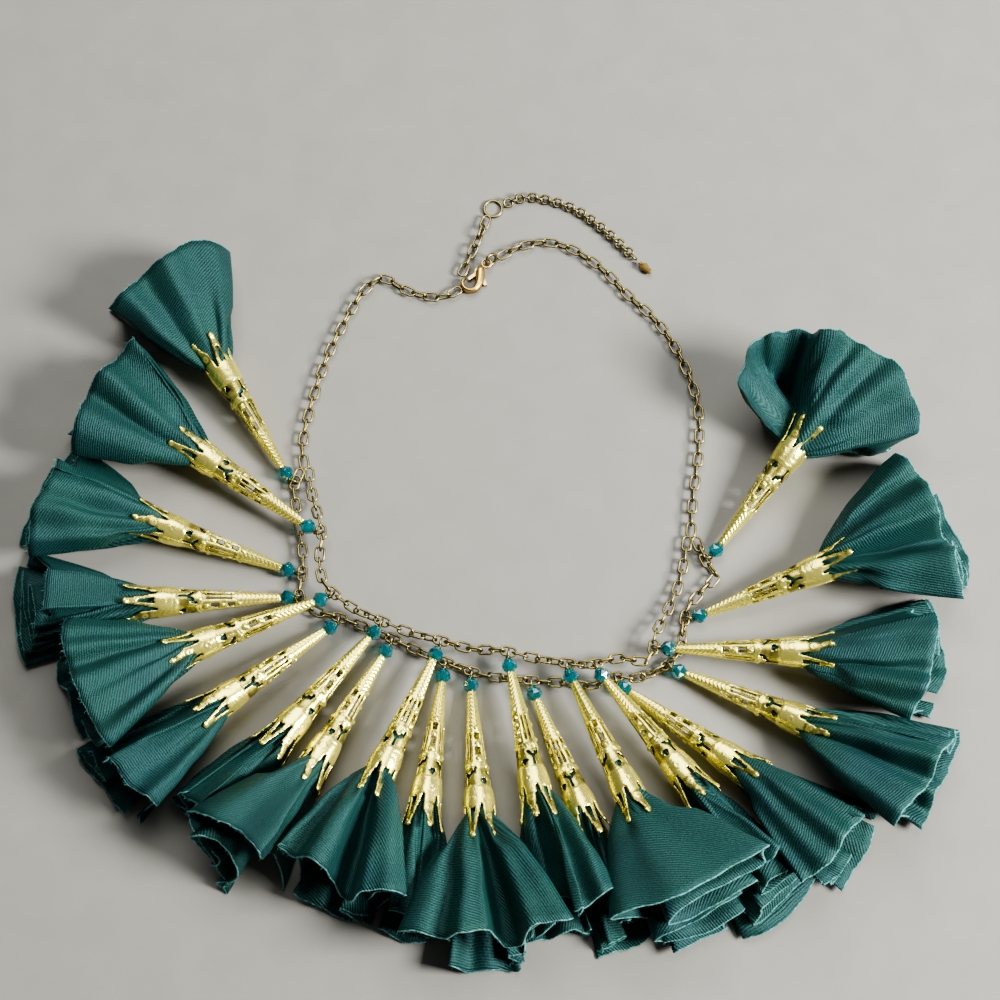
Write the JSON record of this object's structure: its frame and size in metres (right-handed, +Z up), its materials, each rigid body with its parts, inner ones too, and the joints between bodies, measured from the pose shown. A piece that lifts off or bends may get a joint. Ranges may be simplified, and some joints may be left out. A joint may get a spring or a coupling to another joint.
{
  "type": "bib necklace",
  "caption": "Bib necklace laid open: antique brass chain with rows of pierced gold-brass cones, each with a teal crystal and a ruffle of teal twill.",
  "frame": {"origin": "on the surface that the necklace lies on, under the middle of its bounding box", "axes": "+X to the wearer's left as it lies, +Y from the foot of the bib to the clasp, +Z up from the surface"},
  "size_m": [0.2443, 0.2096, 0.0239],
  "materials": {
    "antique_brass": "antiqued, worn bright on the edges",
    "gold_brass": "polished gold-tone plate",
    "teal_twill": "twill with raw cut edges"
  },
  "bodies": {
    "necklace": {"neck_chain_left": "antique_brass", "neck_chain_right": "antique_brass", "front_chain_upper": "antique_brass", "front_chain_lower": "antique_brass", "tail_chain": "antique_brass", "extender_chain": "antique_brass", "extender_ring": "antique_brass", "extender_drop": "antique_brass", "clasp_body": "antique_brass", "clasp_ring": "antique_brass", "cone_01": "gold_brass", "cone_02": "gold_brass", "cone_03": "gold_brass", "cone_04": "gold_brass", "cone_05": "gold_brass", "cone_06": "gold_brass", "cone_07": "gold_brass", "cone_08": "gold_brass", "cone_09": "gold_brass", "cone_10": "gold_brass", "cone_11": "gold_brass", "cone_12": "gold_brass", "cone_13": "gold_brass", "cone_14": "gold_brass", "cone_15": "gold_brass", "cone_16": "gold_brass", "cone_17": "gold_brass", "cone_18": "gold_brass", "cone_19": "gold_brass", "cone_20": "gold_brass", "ruffle_01": "teal_twill", "ruffle_02": "teal_twill", "ruffle_03": "teal_twill", "ruffle_04": "teal_twill", "ruffle_05": "teal_twill", "ruffle_06": "teal_twill", "ruffle_07": "teal_twill", "ruffle_08": "teal_twill", "ruffle_09": "teal_twill", "ruffle_10": "teal_twill", "ruffle_11": "teal_twill", "ruffle_12": "teal_twill", "ruffle_13": "teal_twill", "ruffle_14": "teal_twill", "ruffle_15": "teal_twill", "ruffle_16": "teal_twill", "ruffle_17": "teal_twill", "ruffle_18": "teal_twill", "ruffle_19": "teal_twill", "ruffle_20": "teal_twill"},
    "lever": {"clasp_lever": "antique_brass"}
  },
  "joints": [
    {"name": "clasp_lever_hinge", "type": "hinge", "parent": "necklace", "child": "lever", "pos_m": [-0.00399, 0.08208, 0.0006], "axis": [0, 0, 1], "range_deg": [0, 20], "stiffness_Nm_per_rad": 0.01, "springref_deg": -5.73}
  ]
}
